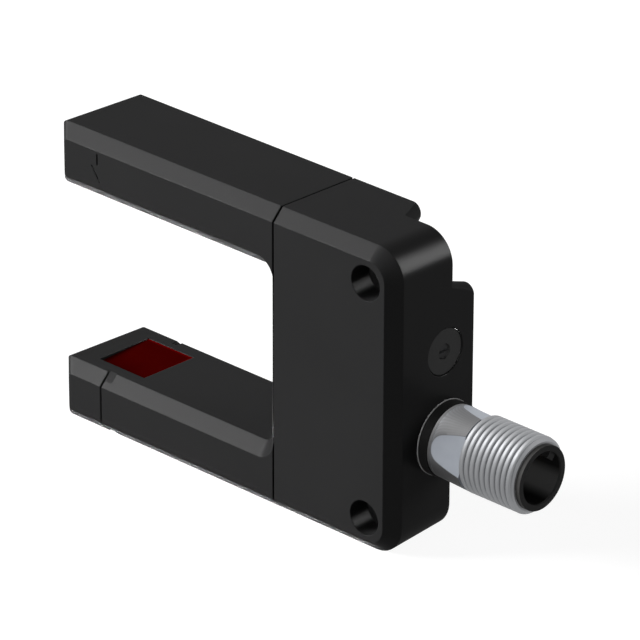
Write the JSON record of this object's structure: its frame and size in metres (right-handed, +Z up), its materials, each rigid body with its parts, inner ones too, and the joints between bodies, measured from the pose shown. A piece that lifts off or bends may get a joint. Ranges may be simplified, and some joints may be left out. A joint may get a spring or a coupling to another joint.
{
  "type": "fork sensor",
  "caption": "Photoelectric fork sensor: two arms with facing red windows on a flat body, with a screwdriver adjuster and a round threaded plug connector on the side.",
  "frame": {"origin": "midpoint between the two mounting holes, on the flat front face", "axes": "+X towards the connector, away from the fork tips, +Y from the front face to the back, +Z up along the line of the two mounting holes, towards the emitter arm"},
  "size_m": [0.0884, 0.0174, 0.05],
  "materials": {
    "board_green": "satin",
    "carrier_black": "satin",
    "chip_black": "matt",
    "collar_black": "satin",
    "diode_package": "satin",
    "disc_grey": "satin",
    "flex_amber": "satin",
    "gasket_grey": "matt",
    "holder_black": "matt",
    "housing_black": "fine satin",
    "lead_black": "satin",
    "lead_blue": "satin",
    "lead_brown": "satin",
    "lead_white": "satin",
    "lens_clear": "polished",
    "pin_gold": "gold plate",
    "rotor_dark": "satin",
    "seal_rubber": "matt",
    "sleeve_metal": "satin nickel plate",
    "socket_ivory": "matt",
    "trimmer_blue": "satin",
    "window_red": "polished"
  },
  "bodies": {
    "housing": {"adjuster_disc": "disc_grey", "adjuster_seal": "seal_rubber", "back_cover": "housing_black", "body_housing": "housing_black", "connector_collar": "collar_black", "connector_seal": "gasket_grey", "connector_sleeve": "sleeve_metal", "contact_carrier": "carrier_black", "contact_lead_1": "lead_brown", "contact_lead_2": "lead_white", "contact_lead_3": "lead_blue", "contact_lead_4": "lead_black", "contact_pin_1": "pin_gold", "contact_pin_2": "pin_gold", "contact_pin_3": "pin_gold", "contact_pin_4": "pin_gold", "emitter_board": "board_green", "emitter_diode": "diode_package", "emitter_flex": "flex_amber", "emitter_holder": "holder_black", "emitter_lens": "lens_clear", "emitter_socket": "socket_ivory", "emitter_window": "window_red", "lower_arm": "housing_black", "lower_tip_cap": "housing_black", "main_board": "board_green", "main_chip": "chip_black", "receiver_board": "board_green", "receiver_diode": "diode_package", "receiver_flex": "flex_amber", "receiver_holder": "holder_black", "receiver_lens": "lens_clear", "receiver_socket": "socket_ivory", "receiver_window": "window_red", "trimmer_body": "trimmer_blue", "trimmer_cover": "trimmer_blue", "upper_arm": "housing_black"},
    "rotor": {"adjuster_rotor": "rotor_dark"}
  },
  "joints": [
    {"name": "adjuster_turn", "type": "hinge", "parent": "housing", "child": "rotor", "pos_m": [0.0053, 0.0112, 0.006], "axis": [1, 0, 0], "range_deg": [-135, 135]}
  ]
}
